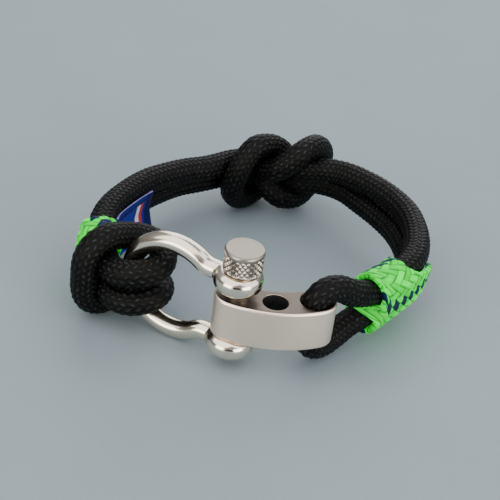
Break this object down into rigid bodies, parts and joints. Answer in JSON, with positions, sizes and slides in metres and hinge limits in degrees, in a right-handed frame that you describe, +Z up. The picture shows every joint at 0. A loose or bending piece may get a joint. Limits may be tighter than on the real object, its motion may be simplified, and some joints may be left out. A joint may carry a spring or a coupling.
{
  "type": "bracelet",
  "caption": "Nautical bracelet: two looped braided cords joined by a reef knot, sleeve whippings, and a bow shackle pinned to a drilled steel adjuster bar.",
  "frame": {"origin": "centre of the bracelet's outline in plan, on the surface it lies on", "axes": "+X to the right across the bracelet seen from its shackle side, +Y from the shackle and bar to the knot, +Z up along the pin"},
  "size_m": [0.0657, 0.0638, 0.0235],
  "materials": {
    "black_cord": "tight black polyester braid with a faint silky sheen",
    "green_sleeve": "neon green braided sleeve with a navy tracer of small diamonds",
    "bar_steel": "polished stainless steel with softly rounded edges",
    "bow_steel": "mirror-polished stainless steel",
    "pin_steel": "satin turned top and diamond-knurled side",
    "label_ribbon": "woven satin ribbon, royal blue with a navy hem and white and red stripes"
  },
  "bodies": {
    "bracelet": {"cord_left": "black_cord", "cord_right": "black_cord", "whipping_left": "green_sleeve", "whipping_right": "green_sleeve", "adjuster_bar": "bar_steel", "shackle_bow": "bow_steel", "woven_label": "label_ribbon"},
    "pin": {"shackle_pin": "pin_steel"}
  },
  "joints": [
    {"name": "pin_draw", "type": "slide", "parent": "bracelet", "child": "pin", "axis": [0, 0, 1], "range_m": [0, 0.0165]}
  ]
}
